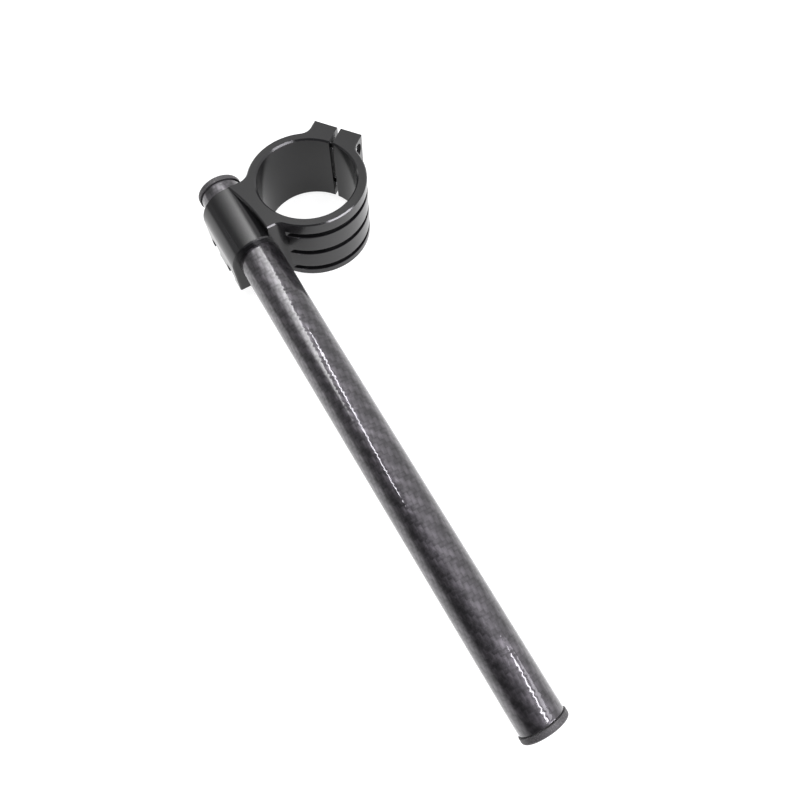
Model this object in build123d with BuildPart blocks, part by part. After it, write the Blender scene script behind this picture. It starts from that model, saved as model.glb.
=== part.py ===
"""Clip-on handlebar for a motorcycle fork: billet clamp, carbon bar, two end plugs and four screws.

Origin on the fork axis at half the height of the ring, +Z along the fork, +X outboard along the bar.
Millimetres.
"""
import os
from math import acos, atan2, cos, degrees, hypot, isclose, radians, sin

from build123d import *

# Fork ring
fork_bore = 51.0
ring_wall = 5.0
ring_height = 40.8
bore_chamfer = 0.8
edge_chamfer = 0.6

# Grooves milled round the outside of the ring
groove_count = 3
groove_pitch = 13.5
groove_top = 8.2
groove_width = 3.0
groove_depth = 1.7
groove_cutter_radius = 10.0
groove_root_overrun = 0.4

# Pinch ears of the ring
ear_direction = 126.9
ear_reach = 6.8
ear_slot_offset = 1.8
ear_slot_width = 2.0
head_ear_thickness = 11.7
thread_ear_thickness = 13.3
head_ear_root_radius = 7.0
thread_ear_root_radius = 6.5
slot_mouth_chamfer = 0.5

# Bar and the sleeve that holds it
bar_diameter = 22.2
bar_wall = 2.6
bar_length = 292.7
bar_stub = 9.4
bar_rise = 3.2
bar_droop = 7.4
bar_end_chamfer = 0.3
bar_fit = 0.05
bore_web = 2.2
sleeve_wall = 3.7
sleeve_width = 33.2
sleeve_inboard = 15.2
jaw_drop = 6.9
jaw_slot_width = 2.0

# Web between the ring and the sleeve, its rim curving away from the bar outboard
rim_inboard_inset = 2.0
rim_outboard_inset = 7.4
inboard_root_radius = 8.4
outboard_root_radius = 5.5

# End plugs
plug_flange_diameter = 23.4
plug_flange_thickness = 3.1
plug_flange_chamfer = 0.9
plug_collar_height = 0.4
plug_collar_inset = 0.7
plug_shank_length = 16.0
plug_shank_wall = 1.8
plug_shank_chamfer = 0.8
plug_fit = 0.05

# Socket-head screws of the ring, M5 x 20
fork_screw_thread = 5.0
fork_screw_length = 20.0
fork_screw_head = 8.5
fork_screw_head_height = 5.0
fork_screw_socket = 4.0
fork_screw_socket_depth = 2.5
fork_screw_spacing = 27.0
fork_screw_bore_wall = 2.4
fork_screw_recess = 1.5

# Socket-head screws of the bar sleeve, M5 x 16
bar_screw_thread = 5.0
bar_screw_length = 16.0
bar_screw_head = 8.5
bar_screw_head_height = 5.0
bar_screw_socket = 4.0
bar_screw_socket_depth = 2.5
bar_screw_spacing = 17.0
bar_screw_bore_wall = 0.6
bar_screw_recess = 1.0

# Fits shared by all screws
screw_edge_chamfer = 0.4
head_clearance = 0.3
hole_clearance = 0.25
thread_clearance = 0.05
tap_run_out = 1.2

# Worked-out places
bore_radius = fork_bore / 2
ring_radius = bore_radius + ring_wall
bar_radius = bar_diameter / 2
sleeve_radius = bar_radius + sleeve_wall
jaw_bottom = -(bar_radius + jaw_drop)
bar_offset = bore_radius + bore_web + bar_radius
rim_inboard = bar_offset - rim_inboard_inset
rim_outboard = bar_offset - rim_outboard_inset
web_inboard = -sleeve_inboard
web_outboard = sleeve_width - sleeve_inboard

bar_axis = Vector(cos(radians(bar_droop)), 0, -sin(radians(bar_droop)))
sleeve_start = web_inboard / bar_axis.X
sleeve_end = web_outboard / bar_axis.X
sleeve_middle = (sleeve_start + sleeve_end) / 2
bar_start = sleeve_start - bar_stub
bar_end = bar_start + bar_length
bar_plane = Plane(origin=(0, -bar_offset, bar_rise), x_dir=(0, 1, 0), z_dir=bar_axis)

ear_out = Vector(cos(radians(ear_direction)), sin(radians(ear_direction)), 0)
ear_across = Vector(ear_out.Y, -ear_out.X, 0)
ear_end = ring_radius + ear_reach
head_face = ear_slot_offset + ear_slot_width / 2 + head_ear_thickness
thread_face = ear_slot_offset - ear_slot_width / 2 - thread_ear_thickness

fork_screw_reach = bore_radius + fork_screw_bore_wall + fork_screw_thread / 2 + hole_clearance
fork_screw_seat = head_face - fork_screw_recess - fork_screw_head_height
bar_screw_drop = bar_radius + bar_screw_bore_wall + bar_screw_thread / 2 + hole_clearance
bar_screw_seat = -sleeve_radius + bar_screw_recess + bar_screw_head_height


def root_limit(face, end, radius):
    """Root radius that leaves a straight flank on a wall of the ring, or the wanted one if smaller."""
    reach = (end - 2 * edge_chamfer) ** 2 - ring_radius**2 + face**2
    return min(radius, reach / (2 * (ring_radius - abs(face))))


def ring_corners(sketch):
    """Corners of an outline that lie on the ring's circle."""
    return sketch.vertices().filter_by(lambda v: isclose(hypot(v.X, v.Y), ring_radius, abs_tol=0.01))


def bearing(corner):
    """Angle of a corner round the fork axis, in degrees."""
    return degrees(atan2(corner.Y, corner.X))


def groove_plan():
    """Plan of the two runs of a groove, as curved slots swept by the cutter."""
    orbit = ring_radius - groove_depth + groove_cutter_radius
    run_out_cosine = (orbit**2 + ring_radius**2 - groove_cutter_radius**2) / (2 * orbit * ring_radius)
    margin = degrees(acos(run_out_cosine) - groove_root_overrun / ring_radius)
    with BuildSketch() as plan:
        for start, finish in groove_spans:
            path = CenterArc((0, 0), orbit, start + margin, finish - start - 2 * margin, mode=Mode.PRIVATE)
            SlotArc(path, 2 * groove_cutter_radius)
    return plan.sketch


def screws(seats, thread, length, head, head_height, socket, socket_depth):
    """Socket-head screws, one on each seat plane, with the head on the plane's positive side."""
    with BuildPart() as group:
        for seat in seats:
            with BuildSketch(Plane(origin=seat.origin, x_dir=seat.x_dir, z_dir=-seat.y_dir)):
                with BuildLine():
                    Polyline(
                        (0, -length),
                        (thread / 2 - screw_edge_chamfer, -length),
                        (thread / 2, screw_edge_chamfer - length),
                        (thread / 2, 0),
                        (head / 2, 0),
                        (head / 2, head_height - screw_edge_chamfer),
                        (head / 2 - screw_edge_chamfer, head_height),
                        (0, head_height),
                        close=True,
                    )
                make_face()
            revolve(axis=Axis(seat.origin, seat.z_dir))
            with BuildSketch(seat.offset(head_height)):
                RegularPolygon(socket / 2, 6, major_radius=False)
            extrude(amount=-socket_depth, mode=Mode.SUBTRACT)
    return group.part


def end_plug(end_plane):
    """Moulded plug: a flange over the end of the tube and a hollow shank pressed into it."""
    shank_radius = bar_radius - bar_wall - plug_fit
    with BuildPart() as plug:
        with BuildSketch(end_plane):
            Circle(bar_radius - plug_collar_inset)
        extrude(amount=plug_collar_height)
        with BuildSketch(end_plane.offset(plug_collar_height)):
            Circle(plug_flange_diameter / 2)
        extrude(amount=plug_flange_thickness)
        rim = plug.edges().sort_by(Axis(end_plane.origin, end_plane.z_dir))[-1]
        chamfer(rim, length=plug_flange_chamfer)
        with BuildSketch(end_plane):
            Circle(shank_radius)
        extrude(amount=-plug_shank_length)
        tip = plug.edges().sort_by(Axis(end_plane.origin, end_plane.z_dir))[0]
        chamfer(tip, length=plug_shank_chamfer)
        with BuildSketch(end_plane.offset(-plug_shank_length)):
            Circle(shank_radius - plug_shank_wall)
        extrude(amount=plug_shank_length, mode=Mode.SUBTRACT)
    return plug.part


fork_screw_seats = [
    Plane(
        origin=ear_out * fork_screw_reach + ear_across * fork_screw_seat + Vector(0, 0, height),
        x_dir=(0, 0, 1),
        z_dir=ear_across,
    )
    for height in (fork_screw_spacing / 2, -fork_screw_spacing / 2)
]
bar_screw_seats = [
    Plane(
        origin=bar_plane.from_local_coords((bar_screw_seat, -bar_screw_drop, station)),
        x_dir=bar_axis,
        z_dir=(0, -1, 0),
    )
    for station in (sleeve_middle - bar_screw_spacing / 2, sleeve_middle + bar_screw_spacing / 2)
]

os.makedirs("parts", exist_ok=True)

with BuildSketch(Plane(origin=(0, 0, 0), x_dir=ear_out)) as ring_disc:
    Circle(ring_radius)

# Outline of the web seen along the fork, with its roots on the ring
with BuildSketch() as web_outline:
    add(ring_disc.sketch)
    with BuildLine():
        Polyline(
            (web_inboard, -rim_inboard),
            (web_inboard, 0),
            (web_outboard, 0),
            (web_outboard, -rim_outboard),
        )
        TangentArc((web_outboard, -rim_outboard), (web_inboard, -rim_inboard), tangent=(-1, 0))
    make_face()
    inboard_root = ring_corners(web_outline).sort_by(Axis.X)[0]
    fillet(inboard_root, radius=root_limit(web_inboard, rim_inboard, inboard_root_radius))
    outboard_root = ring_corners(web_outline).sort_by(Axis.X)[-1]
    fillet(outboard_root, radius=root_limit(web_outboard, rim_outboard, outboard_root_radius))
    web_roots = ring_corners(web_outline).sort_by(Axis.X)
    with BuildLine():
        Polyline(
            (0, 0),
            (web_roots[0].X, web_roots[0].Y),
            (web_roots[0].X, -2 * bar_offset),
            (web_roots[-1].X, -2 * bar_offset),
            (web_roots[-1].X, web_roots[-1].Y),
            close=True,
        )
    make_face(mode=Mode.INTERSECT)

# Outline of the ring with its two ears, still joined
with BuildSketch() as ring_outline:
    add(ring_disc.sketch)
    with BuildLine():
        Polyline(
            ear_across * head_face,
            ear_across * head_face + ear_out * ear_end,
            ear_across * thread_face + ear_out * ear_end,
            ear_across * thread_face,
            close=True,
        )
    make_face()
    head_root = ring_corners(ring_outline).sort_by(Axis((0, 0, 0), ear_across))[-1]
    fillet(head_root, radius=root_limit(head_face, ear_end, head_ear_root_radius))
    thread_root = ring_corners(ring_outline).sort_by(Axis((0, 0, 0), ear_across))[0]
    fillet(thread_root, radius=root_limit(thread_face, ear_end, thread_ear_root_radius))

# Each groove is milled in two runs by a disc cutter, which runs out in the roots of the web and of the ears
ear_roots = ring_corners(ring_outline).sort_by(Axis((0, 0, 0), ear_across))
groove_spans = [
    (bearing(web_roots[-1]), bearing(ear_roots[-1])),
    (bearing(ear_roots[0]), bearing(web_roots[0]) + 360),
]

# Sleeve round the bar: an arch with straight flanks down to the jaws, its ends faced along the fork
with BuildPart() as bar_sleeve:
    with BuildSketch(bar_plane.offset(sleeve_start - sleeve_radius)):
        Circle(sleeve_radius)
        with Locations((0, jaw_bottom / 2)):
            Rectangle(2 * sleeve_radius, -jaw_bottom)
    extrude(amount=sleeve_end - sleeve_start + 2 * sleeve_radius)
    with BuildSketch():
        with Locations((web_inboard + sleeve_width / 2, -bar_offset)):
            Rectangle(sleeve_width, 4 * sleeve_radius)
    extrude(amount=2 * ring_height, both=True, mode=Mode.INTERSECT)
    sleeve_faces = bar_sleeve.faces().filter_by(Axis.X)
    chamfer(sleeve_faces.edges(), length=edge_chamfer)

# Clamp: ring, ears, web and sleeve from one billet, then bored, grooved, slit and drilled
with BuildPart() as fork_clamp:
    add(web_outline.sketch)
    extrude(amount=ring_height / 2, both=True)
    add(ring_outline.sketch)
    extrude(amount=ring_height / 2, both=True)
    rims = fork_clamp.faces().filter_by(Axis.Z)
    chamfer(rims.sort_by(Axis.Z)[-1].edges() + rims.sort_by(Axis.Z)[0].edges(), length=edge_chamfer)
    add(bar_sleeve.part)

    with BuildSketch(Plane.XY.offset(-ring_height / 2)):
        Circle(bore_radius)
    extrude(amount=ring_height, mode=Mode.SUBTRACT)
    mouths = fork_clamp.edges().filter_by(GeomType.CIRCLE).filter_by(lambda e: isclose(e.radius, bore_radius))
    chamfer(mouths, length=bore_chamfer)

    for groove in range(groove_count):
        height = ring_height / 2 - groove_top - groove * groove_pitch
        with BuildSketch(Plane.XY.offset(height)):
            add(groove_plan())
        extrude(amount=groove_width / 2, both=True, mode=Mode.SUBTRACT)

    with BuildSketch(bar_plane.offset(sleeve_start - sleeve_radius)):
        Circle(bar_radius + bar_fit)
        with Locations((0, jaw_bottom)):
            Rectangle(jaw_slot_width, -2 * jaw_bottom)
    extrude(amount=sleeve_end - sleeve_start + 2 * sleeve_radius, mode=Mode.SUBTRACT)

    with BuildSketch(Plane.XY.offset(-ring_height / 2)):
        with BuildLine():
            slot_near = ear_across * (ear_slot_offset - ear_slot_width / 2)
            slot_far = ear_across * (ear_slot_offset + ear_slot_width / 2)
            slot_run = ear_out * 2 * ear_end
            Polyline(slot_near, slot_far, slot_far + slot_run, slot_near + slot_run, close=True)
        make_face()
    extrude(amount=ring_height, mode=Mode.SUBTRACT)
    ear_tips = fork_clamp.edges().filter_by(Axis.Z).group_by(Axis((0, 0, 0), ear_out))[-1]
    slot_lips = ear_tips.filter_by(lambda e: abs(e.center().dot(ear_across) - ear_slot_offset) < ear_slot_width)
    chamfer(slot_lips, length=slot_mouth_chamfer)

    for seat in fork_screw_seats:
        with BuildSketch(seat):
            Circle(fork_screw_head / 2 + head_clearance)
        extrude(amount=head_face - fork_screw_seat + head_ear_root_radius, mode=Mode.SUBTRACT)
        with BuildSketch(seat):
            Circle(fork_screw_thread / 2 + hole_clearance)
        extrude(amount=ear_slot_offset - fork_screw_seat, mode=Mode.SUBTRACT)
        with BuildSketch(seat):
            Circle(fork_screw_thread / 2 + thread_clearance)
        extrude(amount=2 * thread_face - fork_screw_seat, mode=Mode.SUBTRACT)

    for seat in bar_screw_seats:
        with BuildSketch(seat):
            Circle(bar_screw_head / 2 + head_clearance)
        extrude(amount=sleeve_radius, mode=Mode.SUBTRACT)
        with BuildSketch(seat):
            Circle(bar_screw_thread / 2 + hole_clearance)
        extrude(amount=bar_screw_seat, mode=Mode.SUBTRACT)
        with BuildSketch(seat):
            Circle(bar_screw_thread / 2 + thread_clearance)
        extrude(amount=-bar_screw_length - tap_run_out, mode=Mode.SUBTRACT)

fork_clamp.part.label = "fork_clamp"
export_step(fork_clamp.part, "parts/fork_clamp.step")

# Carbon tube, with the edges of both ends broken
with BuildPart() as bar_tube:
    with BuildSketch(bar_plane.offset(bar_start)):
        Circle(bar_radius)
        Circle(bar_radius - bar_wall, mode=Mode.SUBTRACT)
    extrude(amount=bar_length)
    ends = bar_tube.edges().filter_by(GeomType.CIRCLE).filter_by(lambda e: isclose(e.radius, bar_radius))
    chamfer(ends, length=bar_end_chamfer)

bar_tube.part.label = "bar_tube"
export_step(bar_tube.part, "parts/bar_tube.step")

# Plugs that close the two ends of the tube
outer_end_plug = end_plug(bar_plane.offset(bar_end))
outer_end_plug.label = "outer_end_plug"
export_step(outer_end_plug, "parts/outer_end_plug.step")

inner_face = bar_plane.offset(bar_start)
inner_end_plug = end_plug(Plane(origin=inner_face.origin, x_dir=inner_face.x_dir, z_dir=-inner_face.z_dir))
inner_end_plug.label = "inner_end_plug"
export_step(inner_end_plug, "parts/inner_end_plug.step")

# Screws that close the ring on the fork and the sleeve on the bar
fork_pinch_screws = screws(
    fork_screw_seats,
    fork_screw_thread,
    fork_screw_length,
    fork_screw_head,
    fork_screw_head_height,
    fork_screw_socket,
    fork_screw_socket_depth,
)
fork_pinch_screws.label = "fork_pinch_screws"
export_step(fork_pinch_screws, "parts/fork_pinch_screws.step")

bar_pinch_screws = screws(
    bar_screw_seats,
    bar_screw_thread,
    bar_screw_length,
    bar_screw_head,
    bar_screw_head_height,
    bar_screw_socket,
    bar_screw_socket_depth,
)
bar_pinch_screws.label = "bar_pinch_screws"
export_step(bar_pinch_screws, "parts/bar_pinch_screws.step")
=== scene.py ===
"""Clip-on handlebar: a black anodised fork clamp holding a lacquered carbon-fibre grip bar."""
from math import atan2, cos, floor, hypot, pi, radians, sin, sqrt

import bmesh
import bpy
from mathutils import Euler, Matrix, Vector


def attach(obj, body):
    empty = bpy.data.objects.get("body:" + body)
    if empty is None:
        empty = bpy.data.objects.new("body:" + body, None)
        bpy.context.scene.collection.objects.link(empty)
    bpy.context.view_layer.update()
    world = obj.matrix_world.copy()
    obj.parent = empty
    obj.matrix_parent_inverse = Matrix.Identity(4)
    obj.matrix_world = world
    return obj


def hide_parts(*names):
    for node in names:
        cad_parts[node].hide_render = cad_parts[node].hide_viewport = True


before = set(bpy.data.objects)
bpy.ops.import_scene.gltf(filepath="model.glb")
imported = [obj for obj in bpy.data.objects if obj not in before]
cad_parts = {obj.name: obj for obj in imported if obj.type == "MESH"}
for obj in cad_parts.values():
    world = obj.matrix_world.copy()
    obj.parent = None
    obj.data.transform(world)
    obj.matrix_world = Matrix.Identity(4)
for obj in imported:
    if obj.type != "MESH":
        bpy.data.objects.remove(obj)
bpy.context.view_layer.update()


# ---------------------------------------------------------------------------------------------------------------
# Fork clamp: split ring, pinch ears, web and bar sleeve in one piece.
# Milled from an aluminium billet, bead-blasted and anodised black, with every rim chamfered.
# It is held on the fork leg by its own two screws, and holds the bar with two more.

MM = 0.001

groove_heights = (12.2 * MM, -1.3 * MM, -14.8 * MM)
groove_half_width = 1.5 * MM
groove_lip_break = 0.4 * MM
groove_least_depth = 0.7 * MM
corner_break = 0.35 * MM
corner_least_length = 3.0 * MM
sharp_edge = radians(50)
chamfer_rise = (0.6, 0.8)
weld_distance = 0.001 * MM
same_place = 0.01 * MM
flat_angle = radians(0.3)
clamp_rim_angle = radians(28)
clamp_crease_angle = radians(15)

blast_scale = 9000.0
dye_scale = 60.0
dye_dark = (0.005, 0.005, 0.0055)
dye_light = (0.009, 0.009, 0.0095)
painted_rim_highlight = (0.02, 0.02, 0.021)
satin_smooth, satin_rough = 0.15, 0.20
rim_polish = 0.03
blast_relief = 0.03
blast_depth = 0.03 * MM
flat_lead = 80


def shader_value(tree, operation, first, second=0.5, clamp=False):
    """A math node, fed by sockets or plain numbers."""
    node = tree.nodes.new("ShaderNodeMath")
    node.operation = operation
    node.use_clamp = clamp
    for socket, value in zip(node.inputs, (first, second)):
        if isinstance(value, (int, float)):
            socket.default_value = value
        else:
            tree.links.new(value, socket)
    return node.outputs[0]


def shader_range(tree, value, low, high, to_low, to_high, soft=False):
    """A value moved from one range to another and held inside it."""
    node = tree.nodes.new("ShaderNodeMapRange")
    if soft:
        node.interpolation_type = "SMOOTHSTEP"
    for socket, number in zip(node.inputs[1:5], (low, high, to_low, to_high)):
        socket.default_value = number
    tree.links.new(value, node.inputs[0])
    return node.outputs[0]


def shader_blend(tree, factor, dark, light):
    """A colour between two colours."""
    node = tree.nodes.new("ShaderNodeMix")
    node.data_type = "RGBA"
    for name, value in (("A_Color", dark), ("B_Color", light)):
        socket = next(s for s in node.inputs if s.identifier == name)
        if isinstance(value, tuple):
            socket.default_value = (*value, 1)
        else:
            tree.links.new(value, socket)
    tree.links.new(factor, next(s for s in node.inputs if s.identifier == "Factor_Float"))
    return next(s for s in node.outputs if s.identifier == "Result_Color")


def shader_noise(tree, vector, scale, detail):
    """A noise value between about 0 and 1, its scale given by a socket."""
    node = tree.nodes.new("ShaderNodeTexNoise")
    node.inputs["Detail"].default_value = detail
    tree.links.new(vector, node.inputs["Vector"])
    tree.links.new(scale, node.inputs["Scale"])
    return node.outputs["Fac"]


def grain_group():
    """Fine grain and slow clouding of a finished surface, from the place on the piece."""
    group = bpy.data.node_groups.new("surface grain", "ShaderNodeTree")
    for name, kind, way in (
        ("Grain scale", "NodeSocketFloat", "INPUT"),
        ("Cloud scale", "NodeSocketFloat", "INPUT"),
        ("Grain", "NodeSocketFloat", "OUTPUT"),
        ("Cloud", "NodeSocketFloat", "OUTPUT"),
    ):
        group.interface.new_socket(name, in_out=way, socket_type=kind)
    given = group.nodes.new("NodeGroupInput")
    result = group.nodes.new("NodeGroupOutput")
    place = group.nodes.new("ShaderNodeTexCoord").outputs["Object"]
    for name, detail in (("Grain", 3.0), ("Cloud", 2.0)):
        noise = shader_noise(group, place, given.outputs[name + " scale"], detail)
        group.links.new(noise, result.inputs[name])
    return group


surface_grain = grain_group()
noise_span = (0.3, 0.7)


def grain_of(tree, grain_scale, cloud_scale):
    """The two values of the grain group, placed in a material."""
    node = tree.nodes.new("ShaderNodeGroup")
    node.node_tree = surface_grain
    node.inputs["Grain scale"].default_value = grain_scale
    node.inputs["Cloud scale"].default_value = cloud_scale
    return node.outputs["Grain"], node.outputs["Cloud"]


def finish_material(name):
    """A new material, its node tree and its Principled shader."""
    material = bpy.data.materials.new(name)
    material.use_nodes = True
    tree = material.node_tree
    return material, tree, tree.nodes["Principled BSDF"]


def relief(tree, shader, height, strength, distance):
    """Bump on a shader's normal."""
    bump = tree.nodes.new("ShaderNodeBump")
    bump.inputs["Strength"].default_value = strength
    bump.inputs["Distance"].default_value = distance
    tree.links.new(height, bump.inputs["Height"])
    tree.links.new(bump.outputs["Normal"], shader.inputs["Normal"])


def smooth_under(form, rim_angle, crease_angle):
    """Smooth shading, broken at outer edges and at creases sharper than their angles."""
    for face in form.faces:
        face.smooth = True
    for edge in form.edges:
        limit = rim_angle if edge.is_convex else crease_angle
        edge.smooth = len(edge.link_faces) == 2 and edge.calc_face_angle() < limit


def add_piece(name, form, material, slot, *nodes):
    """A finished piece from a bmesh, riding on the part in place of CAD nodes."""
    mesh = bpy.data.meshes.new(name)
    form.to_mesh(mesh)
    form.free()
    mesh.materials.append(material)
    piece = bpy.data.objects.new(name, mesh)
    bpy.context.scene.collection.objects.link(piece)
    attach(piece, "root")
    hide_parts(*nodes)
    return piece


def level_shading(piece):
    """Normals led by the large faces, so that flats beside blends stay flat."""
    leader = piece.modifiers.new("level shading", "WEIGHTED_NORMAL")
    leader.mode = "FACE_AREA"
    leader.weight = flat_lead
    leader.keep_sharp = True


anodised, tree, shader = finish_material("black anodised aluminium")
blast, cloud = grain_of(tree, blast_scale, dye_scale)
rim_mark = tree.nodes.new("ShaderNodeAttribute")
rim_mark.attribute_name = "rim"
rim = rim_mark.outputs["Fac"]
dye = shader_blend(tree, cloud, dye_dark, dye_light)
# Rims are painted lighter in cloudy patches: a painted highlight along the chamfers and rounded edges.
rim_highlight_patches = shader_value(tree, "MULTIPLY", rim, cloud)
tree.links.new(shader_blend(tree, rim_highlight_patches, dye, painted_rim_highlight), shader.inputs["Base Color"])
satin = shader_range(tree, blast, *noise_span, satin_smooth, satin_rough)
satin = shader_value(tree, "SUBTRACT", satin, shader_value(tree, "MULTIPLY", rim, rim_polish))
tree.links.new(satin, shader.inputs["Roughness"])
relief(tree, shader, blast, blast_relief, blast_depth)

clamp_form = bmesh.new()
clamp_form.from_mesh(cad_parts["fork_clamp"].data)
bmesh.ops.remove_doubles(clamp_form, verts=clamp_form.verts, dist=weld_distance)
bmesh.ops.dissolve_limit(clamp_form, angle_limit=flat_angle, verts=clamp_form.verts, edges=clamp_form.edges)
rim_layer = clamp_form.faces.layers.float.new("rim")


def is_sharp(edge):
    """Whether an edge is an outer one that a hand would feel."""
    return edge.is_convex and len(edge.link_faces) == 2 and edge.calc_face_angle() >= sharp_edge


def groove_lips(form):
    """Mouth edges of the grooves, without the shallow run-outs at their ends."""
    for height in groove_heights:
        for side in (-1, 1):
            level = height + side * groove_half_width
            flat = [e for e in form.edges if all(abs(v.co.z - level) < same_place for v in e.verts)]
            floor_points = [v.co for e in flat if not e.is_convex for v in e.verts]
            for edge in filter(is_sharp, flat):
                middle = (edge.verts[0].co + edge.verts[1].co) / 2
                if min((middle - point).length for point in floor_points) > groove_least_depth:
                    yield edge


def upright_corners(form):
    """Outer corners of the ears, the split and the web, which run along the fork bore."""
    for edge in form.edges:
        run = edge.verts[1].co - edge.verts[0].co
        upright = hypot(run.x, run.y) < same_place and run.length > corner_least_length
        if upright and is_sharp(edge):
            yield edge


def break_edges(form, edges, offset):
    """Small rounds along sharp edges, given back as their faces."""
    return bmesh.ops.bevel(
        form,
        geom=edges,
        offset=offset,
        offset_type="OFFSET",
        segments=2,
        profile=0.5,
        affect="EDGES",
        material=-1,
        clamp_overlap=False,
    )["faces"]


for edges, offset in ((groove_lips, groove_lip_break), (upright_corners, corner_break)):
    for face in break_edges(clamp_form, list(edges(clamp_form)), offset):
        face[rim_layer] = 1.0
for face in clamp_form.faces:
    if chamfer_rise[0] < abs(face.normal.z) < chamfer_rise[1]:
        face[rim_layer] = 1.0
smooth_under(clamp_form, clamp_rim_angle, clamp_crease_angle)
level_shading(add_piece("fork_clamp_machined", clamp_form, anodised, "clamp", "fork_clamp"))


# ---------------------------------------------------------------------------------------------------------------
# Grip bar: a straight tube of carbon-fibre twill, rolled and cured, with a clear gloss lacquer.
# It is pushed through the sleeve of the clamp, and slopes down towards its outer end.
# The tows show faintly through the lacquer, and print a slight waviness on its gloss.

bar_radius = 11.1 * MM
bar_bore = 8.5 * MM
bar_length = 292.7 * MM
bar_start = -24.728 * MM
bar_end_round = 0.3 * MM
bar_slope = radians(7.4)
bar_axis = Vector((cos(bar_slope), 0, -sin(bar_slope)))
bar_up = Vector((sin(bar_slope), 0, cos(bar_slope)))
bar_middle_axis = (0, -38.8 * MM, 3.2 * MM)
bar_turn = Matrix(((0, bar_up.x, bar_axis.x), (1, 0, 0), (0, bar_up.z, bar_axis.z)))
bar_place = Matrix.Translation(bar_middle_axis) @ bar_turn.to_4x4()

twill_repeat = 4
twill_over = 2
tows_round = 32
tow_width = 2 * pi * bar_radius / tows_round
tow_facets = 4
tow_print = 0.016 * MM
tow_crease = radians(40)

fibre_scale = 420.0
resin_scale = 150.0
tow_dark = (0.030, 0.029, 0.031)
tow_light = (0.150, 0.140, 0.155)
# Painted sheen: how much lighter the warp tows and the crowns of the tows are drawn.
warp_sheen = 0.20
crown_sheen = 0.18
fibre_sheen = 0.32
resin_depth = (0.55, 1.4)
valley_rough, crown_rough = 0.52, 0.40
lacquer_rough = 0.05
tow_relief = 0.35
tow_depth = 0.1 * MM


def turned(profile, steps, closed=True):
    """A bmesh spun round the Z axis from a profile of (radius, height) points."""
    form = bmesh.new()
    points = [form.verts.new((radius, 0, height)) for radius, height in profile]
    pairs = list(zip(points, points[1:] + points[:1])) if closed else list(zip(points, points[1:]))
    edges = [form.edges.new(pair) for pair in pairs]
    bmesh.ops.spin(
        form, geom=points + edges, cent=(0, 0, 0), axis=(0, 0, 1), angle=2 * pi, steps=steps, use_merge=True
    )
    bmesh.ops.remove_doubles(form, verts=form.verts, dist=weld_distance)
    bmesh.ops.recalc_face_normals(form, faces=form.faces)
    return form


def wrap_round(form, width, length):
    """A UV map wound round the Z axis: a whole width to a turn, and lengths along the axis."""
    layer = form.loops.layers.uv.new("wound")
    for face in form.faces:
        middle = face.calc_center_median()
        facing = atan2(middle.y, middle.x)
        for loop in face.loops:
            point = loop.vert.co
            turn = (atan2(point.y, point.x) - facing + pi) % (2 * pi) - pi
            loop[layer].uv = ((facing + turn) / (2 * pi) * width, point.z / length)


def twill_height(across, along):
    """Height of a two-and-two twill, from 0 between the tows to 1 on top of them."""
    step = (floor(across) + floor(along)) % twill_repeat
    if step < twill_over:
        return sin(pi * (across % 1)) * sin(pi * (along % 1 + step) / twill_over)
    return sin(pi * (along % 1)) * sin(pi * (across % 1 + step - twill_over) / twill_over)


carbon, tree, shader = finish_material("lacquered carbon twill")
wound = tree.nodes.new("ShaderNodeUVMap")
wound.uv_map = "wound"
split = tree.nodes.new("ShaderNodeSeparateXYZ")
tree.links.new(wound.outputs["UV"], split.inputs[0])
across = split.outputs["X"]
along = split.outputs["Y"]
cell_sum = shader_value(tree, "ADD", shader_value(tree, "FLOOR", across), shader_value(tree, "FLOOR", along))
step = shader_value(tree, "FLOORED_MODULO", cell_sum, twill_repeat)
warp_over = shader_value(tree, "LESS_THAN", step, twill_over - 0.5)
weft_over = shader_value(tree, "SUBTRACT", 1.0, warp_over)
across_part = shader_value(tree, "FRACT", across)
along_part = shader_value(tree, "FRACT", along)


def arch(part, span):
    """Rounded height over a tow, from 0 at its edges to 1 in its middle."""
    return shader_value(tree, "SINE", shader_value(tree, "MULTIPLY", part, pi / span))


warp_run = shader_value(tree, "ADD", along_part, step)
weft_run = shader_value(tree, "ADD", across_part, shader_value(tree, "SUBTRACT", step, twill_over))
warp_height = shader_value(tree, "MULTIPLY", arch(across_part, 1), arch(warp_run, twill_over))
weft_height = shader_value(tree, "MULTIPLY", arch(along_part, 1), arch(weft_run, twill_over))
height = shader_value(
    tree,
    "ADD",
    shader_value(tree, "MULTIPLY", warp_height, warp_over),
    shader_value(tree, "MULTIPLY", weft_height, weft_over),
)
fibre, resin = grain_of(tree, fibre_scale, resin_scale)
# Warp tows and the crowns of all tows are painted lighter as a painted sheen. Fine fibre grain and darker resin
# patches add the tows' own tone.
painted_sheen_and_tone = shader_value(
    tree,
    "ADD",
    shader_value(tree, "MULTIPLY", warp_over, warp_sheen),
    shader_value(tree, "MULTIPLY", height, crown_sheen),
)
painted_sheen_and_tone = shader_value(tree, "ADD", painted_sheen_and_tone, shader_range(tree, fibre, *noise_span, 0.0, fibre_sheen))
painted_sheen_and_tone = shader_value(tree, "MULTIPLY", painted_sheen_and_tone, shader_range(tree, resin, *noise_span, *resin_depth), True)
tree.links.new(shader_blend(tree, painted_sheen_and_tone, tow_dark, tow_light), shader.inputs["Base Color"])
tree.links.new(shader_range(tree, height, 0.0, 1.0, valley_rough, crown_rough), shader.inputs["Roughness"])
shader.inputs["Metallic"].default_value = 1.0
shader.inputs["Coat Weight"].default_value = 1.0
shader.inputs["Coat Roughness"].default_value = lacquer_rough
relief(tree, shader, height, tow_relief, tow_depth)

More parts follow.
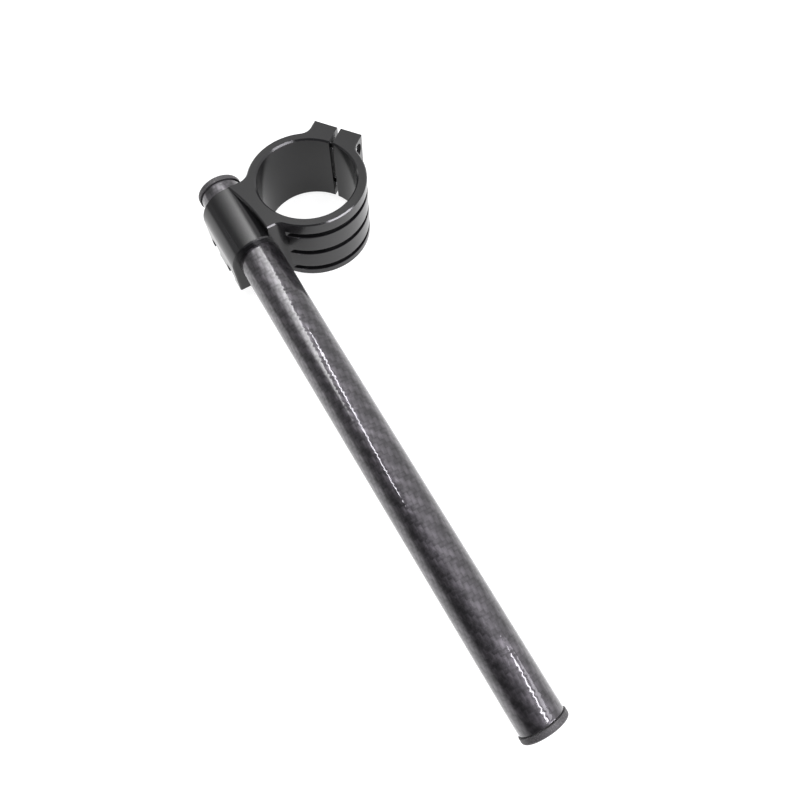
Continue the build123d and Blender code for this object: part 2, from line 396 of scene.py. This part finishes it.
bar_rows = round(bar_length / tow_width * tow_facets)
bar_end_knee = 0.3 * bar_end_round
bar_form = turned(
    [
        (bar_bore, 0),
        (bar_radius - bar_end_round, 0),
        (bar_radius - bar_end_knee, bar_end_knee),
        *[(bar_radius, bar_length * row / bar_rows) for row in range(1, bar_rows)],
        (bar_radius - bar_end_knee, bar_length - bar_end_knee),
        (bar_radius - bar_end_round, bar_length),
        (bar_bore, bar_length),
    ],
    tows_round * tow_facets,
)
wrap_round(bar_form, tows_round, tow_width)
for vert in bar_form.verts:
    if abs(hypot(vert.co.x, vert.co.y) - bar_radius) < weld_distance:
        turn = atan2(vert.co.y, vert.co.x) / (2 * pi) * tows_round
        sink = tow_print * (1 - twill_height(turn, vert.co.z / tow_width)) / bar_radius
        vert.co.x *= 1 - sink
        vert.co.y *= 1 - sink
smooth_under(bar_form, tow_crease, tow_crease)
bmesh.ops.transform(bar_form, matrix=bar_place @ Matrix.Translation((0, 0, bar_start)), verts=bar_form.verts)
add_piece("carbon_bar", bar_form, carbon, "bar", "bar_tube")


# ---------------------------------------------------------------------------------------------------------------
# End plugs: moulded dark-grey plastic, one pressed into each end of the bar.
# A rounded flange covers the end of the tube, and a hollow shank grips its inside.

flange_radius = 11.7 * MM
flange_round = 1.2 * MM
flange_round_steps = 6
flange_edge = 0.15 * MM
flange_thickness = 3.1 * MM
collar_radius = 10.4 * MM
collar_height = 0.4 * MM
shank_radius = 8.45 * MM
shank_bore = 6.65 * MM
shank_length = 16.0 * MM
shank_taper = 0.8 * MM
plug_facets = 96
plug_crease = radians(40)

mould_scale = 2200.0
plastic_cloud_scale = 300.0
plastic_dark = (0.030, 0.029, 0.030)
plastic_light = (0.052, 0.050, 0.052)
speck_grey = (0.13, 0.125, 0.13)
speck_span = (0.52, 0.68)
speck_cover = 0.8
hollow_rough, grain_rough = 0.62, 0.48
mould_relief = 0.3
mould_depth = 0.1 * MM

moulded, tree, shader = finish_material("moulded grey plastic")
grain, cloud = grain_of(tree, mould_scale, plastic_cloud_scale)
plastic = shader_blend(tree, cloud, plastic_dark, plastic_light)
speck = shader_range(tree, grain, *speck_span, 0.0, speck_cover)
tree.links.new(shader_blend(tree, speck, plastic, speck_grey), shader.inputs["Base Color"])
tree.links.new(shader_range(tree, grain, *noise_span, hollow_rough, grain_rough), shader.inputs["Roughness"])
relief(tree, shader, grain, mould_relief, mould_depth)


def flange_corner():
    """Points of the flange's rounded rim, from its side to its face."""
    top = collar_height + flange_thickness
    for step in range(flange_round_steps + 1):
        turn = pi / 2 * step / flange_round_steps
        yield (
            flange_radius - flange_round + flange_round * cos(turn),
            top - flange_round + flange_round * sin(turn),
        )


def plug_profile():
    """Half section of a plug, its flange above the end of the tube and its shank below."""
    yield (0, 0)
    yield (shank_bore, 0)
    yield (shank_bore, -shank_length)
    yield (shank_radius - shank_taper, -shank_length)
    yield (shank_radius, shank_taper - shank_length)
    yield (shank_radius, 0)
    yield (collar_radius, 0)
    yield (collar_radius, collar_height)
    yield (flange_radius - flange_edge, collar_height)
    yield (flange_radius, collar_height + flange_edge)
    yield from flange_corner()
    yield (0, collar_height + flange_thickness)


for name, facing in (
    ("outer_end_plug", Matrix.Translation((0, 0, bar_start + bar_length))),
    ("inner_end_plug", Matrix.Translation((0, 0, bar_start)) @ Matrix.Rotation(pi, 4, "X")),
):
    plug_form = turned(list(plug_profile()), plug_facets, closed=False)
    smooth_under(plug_form, plug_crease, plug_crease)
    bmesh.ops.transform(plug_form, matrix=bar_place @ facing, verts=plug_form.verts)
    add_piece(name + "_moulded", plug_form, moulded, "plug", name)


# ---------------------------------------------------------------------------------------------------------------
# Screws: bright steel socket-head screws with knurled heads and rolled threads.
# Two pass through the head-side ear of the ring into the other ear, and close the ring on the fork leg.
# Two more cross the slot under the sleeve and close its jaws on the bar.

screw_head_radius = 4.25 * MM
screw_head_height = 5.0 * MM
screw_head_round = 0.4 * MM
screw_head_knee = 0.3 * screw_head_round
screw_seat_break = 0.2 * MM
screw_thread_radius = 2.5 * MM
screw_root_radius = 2.08 * MM
screw_pitch = 0.8 * MM
screw_tip = 0.4 * MM
screw_tip_break = 0.1 * MM
thread_crest_start, thread_crest_end, thread_root_start = 0.4, 0.55, 0.95
thread_run_out = 0.02 * MM
socket_radius = 4.0 * MM / sqrt(3)
socket_depth = 2.5 * MM
socket_mouth = 0.15 * MM
socket_point = 0.5 * MM
knurl_teeth = 36
knurl_depth = 0.14 * MM
knurl_start = 0.35 * MM
knurl_end = screw_head_height - 0.7 * MM
screw_crease = radians(30)

brush_scale = 3000.0
steel_cloud_scale = 300.0
steel_dark = (0.48, 0.48, 0.49)
steel_light = (0.66, 0.66, 0.67)
bright_rough, dull_rough = 0.2, 0.32
brush_relief = 0.08
brush_depth = 0.03 * MM

steel, tree, shader = finish_material("bright steel")
brush, cloud = grain_of(tree, brush_scale, steel_cloud_scale)
tree.links.new(shader_blend(tree, brush, steel_dark, steel_light), shader.inputs["Base Color"])
tree.links.new(shader_range(tree, cloud, *noise_span, bright_rough, dull_rough), shader.inputs["Roughness"])
shader.inputs["Metallic"].default_value = 1.0
relief(tree, shader, brush, brush_relief, brush_depth)


def screw_profile(length):
    """Half section of a screw from its tip to the mouth of its socket, its seat at height 0."""
    yield (0, -length)
    yield (screw_root_radius - screw_tip_break, -length)
    yield (screw_root_radius, screw_tip - length)
    for turn in range(int((length - screw_tip) / screw_pitch)):
        low = screw_tip - length + turn * screw_pitch
        yield (screw_thread_radius, low + thread_crest_start * screw_pitch)
        yield (screw_thread_radius, low + thread_crest_end * screw_pitch)
        yield (screw_root_radius, low + thread_root_start * screw_pitch)
    yield (screw_thread_radius, -thread_run_out)
    yield (screw_thread_radius, 0)
    yield (screw_head_radius - screw_seat_break, 0)
    yield (screw_head_radius, screw_seat_break)
    yield (screw_head_radius, knurl_start)
    yield (screw_head_radius, knurl_end)
    yield (screw_head_radius, screw_head_height - screw_head_round)
    yield (screw_head_radius - screw_head_knee, screw_head_height - screw_head_knee)
    yield (screw_head_radius - screw_head_round, screw_head_height)
    yield (socket_radius + socket_mouth, screw_head_height)


def socket_screw(length):
    """One screw along the Z axis: turned, knurled, and broached with a hexagon."""
    form = turned(list(screw_profile(length)), 2 * knurl_teeth, closed=False)
    for vert in form.verts:
        knurled = knurl_start - same_place < vert.co.z < knurl_end + same_place
        if knurled and round(atan2(vert.co.y, vert.co.x) / pi * knurl_teeth) % 2:
            vert.co.x *= 1 - knurl_depth / screw_head_radius
            vert.co.y *= 1 - knurl_depth / screw_head_radius
    mouth = [edge for edge in form.edges if edge.is_boundary]
    hexagon = bmesh.ops.create_circle(form, cap_ends=False, segments=6, radius=socket_radius)["verts"]
    bmesh.ops.translate(form, vec=(0, 0, screw_head_height - socket_mouth), verts=hexagon)
    flats = list({edge for vert in hexagon for edge in vert.link_edges})
    bmesh.ops.bridge_loops(form, edges=mouth + flats)
    for drop, width in ((socket_depth - socket_mouth, 1.0), (socket_point, 0.0)):
        grown = bmesh.ops.extrude_edge_only(form, edges=flats)["geom"]
        points = [item for item in grown if isinstance(item, bmesh.types.BMVert)]
        flats = [item for item in grown if isinstance(item, bmesh.types.BMEdge)]
        bmesh.ops.translate(form, vec=(0, 0, -drop), verts=points)
        bmesh.ops.scale(form, vec=(width, width, 1.0), verts=points)
    bmesh.ops.remove_doubles(form, verts=form.verts, dist=weld_distance)
    bmesh.ops.recalc_face_normals(form, faces=form.faces)
    return form


def add_screws(node, length, seats):
    """A pair of like screws as one piece, each on its seat."""
    pair = bmesh.new()
    for seat in seats:
        screw = socket_screw(length)
        bmesh.ops.transform(screw, matrix=seat, verts=screw.verts)
        passing = bpy.data.meshes.new(node + " blank")
        screw.to_mesh(passing)
        screw.free()
        pair.from_mesh(passing)
        bpy.data.meshes.remove(passing)
    smooth_under(pair, screw_crease, screw_crease)
    add_piece(node + "_turned", pair, steel, "screw", node)


fork_screw_length = 20.0 * MM
fork_screw_heights = (13.5 * MM, -13.5 * MM)
ear_turn = radians(126.9)
ear_reach = 30.65 * MM
ear_seat = 8.0 * MM
ear_out = Vector((cos(ear_turn), sin(ear_turn), 0))
ear_across = Vector((ear_out.y, -ear_out.x, 0))
ear_place = ear_out * ear_reach + ear_across * ear_seat
ear_facing = Matrix(((0, ear_out.x, ear_across.x), (0, ear_out.y, ear_across.y), (-1, 0, 0))).to_4x4()
add_screws(
    "fork_pinch_screws",
    fork_screw_length,
    [Matrix.Translation(ear_place + Vector((0, 0, height))) @ ear_facing for height in fork_screw_heights],
)

bar_screw_length = 16.0 * MM
bar_screw_stations = (-7.088 * MM, 9.912 * MM)
jaw_seat = -8.8 * MM
jaw_drop = -14.45 * MM
jaw_facing = Matrix(((0, 0, -1), (0, 1, 0), (1, 0, 0))).to_4x4()
add_screws(
    "bar_pinch_screws",
    bar_screw_length,
    [bar_place @ Matrix.Translation((jaw_seat, jaw_drop, station)) @ jaw_facing for station in bar_screw_stations],
)


# ---------------------------------------------------------------------------------------------------------------
# Table top: smooth white board, on which the part lies loose.
# It is tilted in the part's frame, because the part rests on its ring and on the outer plug.
# It glows evenly for the camera. In what the part mirrors of it, the glow carries a painted shade in nooks beside
# the part, and it is dimmer towards the front.

table_point = (266.5 * MM, -39.5 * MM, -43.4 * MM)
table_normal = Vector((0.0813, 0.0438, 0.9957))
table_reach = 6.0
table_grey = (0.3, 0.3, 0.3)
table_rough = 0.9
table_white = 0.9
nook_width = 80 * MM
nook_glow, open_glow = 0.5, 1.2
front_way = (0.5, -0.85, 0.0)
front_start, front_end = 185 * MM, 265 * MM
front_glow = 0.3


def shader_along(tree, vector, axis):
    """How far a place or a direction goes along an axis."""
    node = tree.nodes.new("ShaderNodeVectorMath")
    node.operation = "DOT_PRODUCT"
    node.inputs[1].default_value = axis
    tree.links.new(vector, node.inputs[0])
    return node.outputs["Value"]


white_top, tree, shader = finish_material("white table top")
shader.inputs["Base Color"].default_value = (*table_grey, 1)
shader.inputs["Roughness"].default_value = table_rough
shader.inputs["Specular IOR Level"].default_value = 0.0
lightpath = tree.nodes.new("ShaderNodeLightPath")
nook = tree.nodes.new("ShaderNodeAmbientOcclusion")
nook.samples = 8
nook.inputs["Distance"].default_value = nook_width
forward = shader_along(tree, tree.nodes.new("ShaderNodeTexCoord").outputs["Object"], front_way)
# Painted shade: ambient occlusion dims the mirrored glow in nooks beside the part.
mirrored = shader_value(
    tree,
    "MULTIPLY",
    shader_range(tree, nook.outputs["AO"], 0.0, 1.0, nook_glow, open_glow),
    shader_range(tree, forward, front_start, front_end, 1.0, front_glow, True),
)
seen = shader_value(
    tree,
    "ADD",
    shader_value(tree, "MULTIPLY", lightpath.outputs["Is Camera Ray"], table_white),
    shader_value(tree, "MULTIPLY", lightpath.outputs["Is Glossy Ray"], mirrored),
)
glow = tree.nodes.new("ShaderNodeEmission")
glow.inputs["Color"].default_value = (1, 1, 1, 1)
tree.links.new(seen, glow.inputs["Strength"])
both = tree.nodes.new("ShaderNodeAddShader")
tree.links.new(shader.outputs[0], both.inputs[0])
tree.links.new(glow.outputs[0], both.inputs[1])
tree.links.new(both.outputs[0], tree.nodes["Material Output"].inputs["Surface"])

table_form = bmesh.new()
bmesh.ops.create_grid(table_form, x_segments=1, y_segments=1, size=table_reach)
table_turn = Vector((0, 0, 1)).rotation_difference(table_normal).to_matrix().to_4x4()
bmesh.ops.transform(table_form, matrix=Matrix.Translation(table_point) @ table_turn, verts=table_form.verts)
table_mesh = bpy.data.meshes.new("table_top")
table_form.to_mesh(table_mesh)
table_form.free()
table_mesh.materials.append(white_top)
table_top = bpy.data.objects.new("table_top", table_mesh)
bpy.context.scene.collection.objects.link(table_top)


# ---------------------------------------------------------------------------------------------------------------
# Studio: a pale room, darker towards the front and darkest above it, with a bright haze low down.
# A broad soft box on the room fades off to one side, and five long soft boxes hang as lamps round the bar.

room_back = (0, 1, 0)
room_dark = (0.45, -0.65, 0.61)
box_across = (0.966, 0.257, 0)
box_along = (0.257, -0.966, 0)
box_edge = -0.262
box_fade = 11.0
box_glare = 13.5

world = bpy.data.worlds.new("white room")
bpy.context.scene.world = world
world.use_nodes = True
tree = world.node_tree
lightpath = tree.nodes.new("ShaderNodeLightPath")
toward = tree.nodes.new("ShaderNodeTexCoord").outputs["Generated"]
rise = shader_along(tree, toward, (0, 0, 1))
back = shader_along(tree, toward, room_back)
aside = shader_along(tree, toward, box_across)
reach = shader_along(tree, toward, box_along)


def shaded(value, *edges):
    """A value multiplied by soft edges, each along a direction and from one level to another."""
    for edge in edges:
        value = shader_value(tree, "MULTIPLY", value, shader_range(tree, *edge, True))
    return value


room = shaded(
    shader_range(tree, back, -0.45, 0.1, 0.4, 1.0, True),
    (shader_along(tree, toward, room_dark), 0.62, 0.87, 1.0, 0.13),
)
haze = shaded(
    shader_range(tree, back, -0.75, -0.2, 0.38, 0.9, True),
    (rise, 0.04, 0.2, 1.0, 0.0),
)
from_edge = shader_value(tree, "SUBTRACT", aside, box_edge)
broad_box = shaded(
    shader_value(tree, "EXPONENT", shader_value(tree, "MULTIPLY", from_edge, box_fade)),
    (aside, -0.265, -0.25, 1.0, 0.0),
    (reach, -0.48, -0.3, 0.0, 1.0),
    (reach, 0.32, 0.56, 1.0, 0.0),
    (rise, 0.0, 0.3, 0.0, box_glare),
)
room = shader_value(tree, "ADD", shader_value(tree, "MAXIMUM", room, haze), broad_box)
strength = shader_value(tree, "MAXIMUM", lightpath.outputs["Is Camera Ray"], room)
tree.links.new(strength, tree.nodes["Background"].inputs["Strength"])
tree.nodes["Background"].inputs["Color"].default_value = (1, 1, 1, 1)

lamp_distance = 4.0
lamp_tint = (0.96, 0.93, 1.0)
bar_middle = Vector((0.12, -0.04, 0.0))


def soft_box(name, first, last, width, glare):
    """A long rectangular lamp of even glare, seen from the bar between two directions."""
    first, last = lamp_distance * Vector(first), lamp_distance * Vector(last)
    lamp = bpy.data.lights.new(name, "AREA")
    lamp.shape = "RECTANGLE"
    lamp.size = width
    lamp.size_y = (last - first).length
    lamp.energy = glare * pi * lamp.size * lamp.size_y
    lamp.color = lamp_tint
    middle = (first + last) / 2
    along = (last - first).normalized()
    side = along.cross(middle).normalized()
    box = bpy.data.objects.new(name, lamp)
    box.location = bar_middle + middle
    box.rotation_euler = Matrix((side, along, side.cross(along))).transposed().to_euler()
    bpy.context.scene.collection.objects.link(box)


soft_box("inner box", (-0.25, 0.24, 0.94), (0.02, -0.47, 0.88), width=0.11, glare=28.0)
soft_box("outer box", (0.292, 0.55, 0.78), (0.43, 0.10, 0.90), width=0.12, glare=28.0)
soft_box("outer fill box", (0.28, 0.77, 0.57), (0.40, 0.46, 0.79), width=0.24, glare=6.0)
soft_box("side box", (0.79, 0.06, 0.61), (0.57, 0.70, 0.43), width=0.4, glare=20.0)
soft_box("upper side box", (0.71, -0.06, 0.70), (0.58, 0.55, 0.60), width=0.2, glare=14.0)


# ---------------------------------------------------------------------------------------------------------------
# Camera: a full-frame body with a 30 mm lens, held close above the outer half of the bar.
# Its place, turn and shift were fitted to the rims of the ring, the edges of the bar and the plugs.

camera_data = bpy.data.cameras.new("camera")
camera_data.sensor_width = 36.0
camera_data.lens = 30.42
camera_data.shift_x = -0.00755
camera_data.shift_y = -0.02511
camera_data.clip_start = 0.01
camera = bpy.data.objects.new("camera", camera_data)
camera.location = (0.22763, -0.08525, 0.28505)
camera.rotation_euler = Euler((radians(25.3692), radians(-0.5443), radians(58.1531)), "XYZ")
bpy.context.scene.collection.objects.link(camera)
bpy.context.scene.camera = camera
bpy.context.scene.view_settings.view_transform = "Standard"
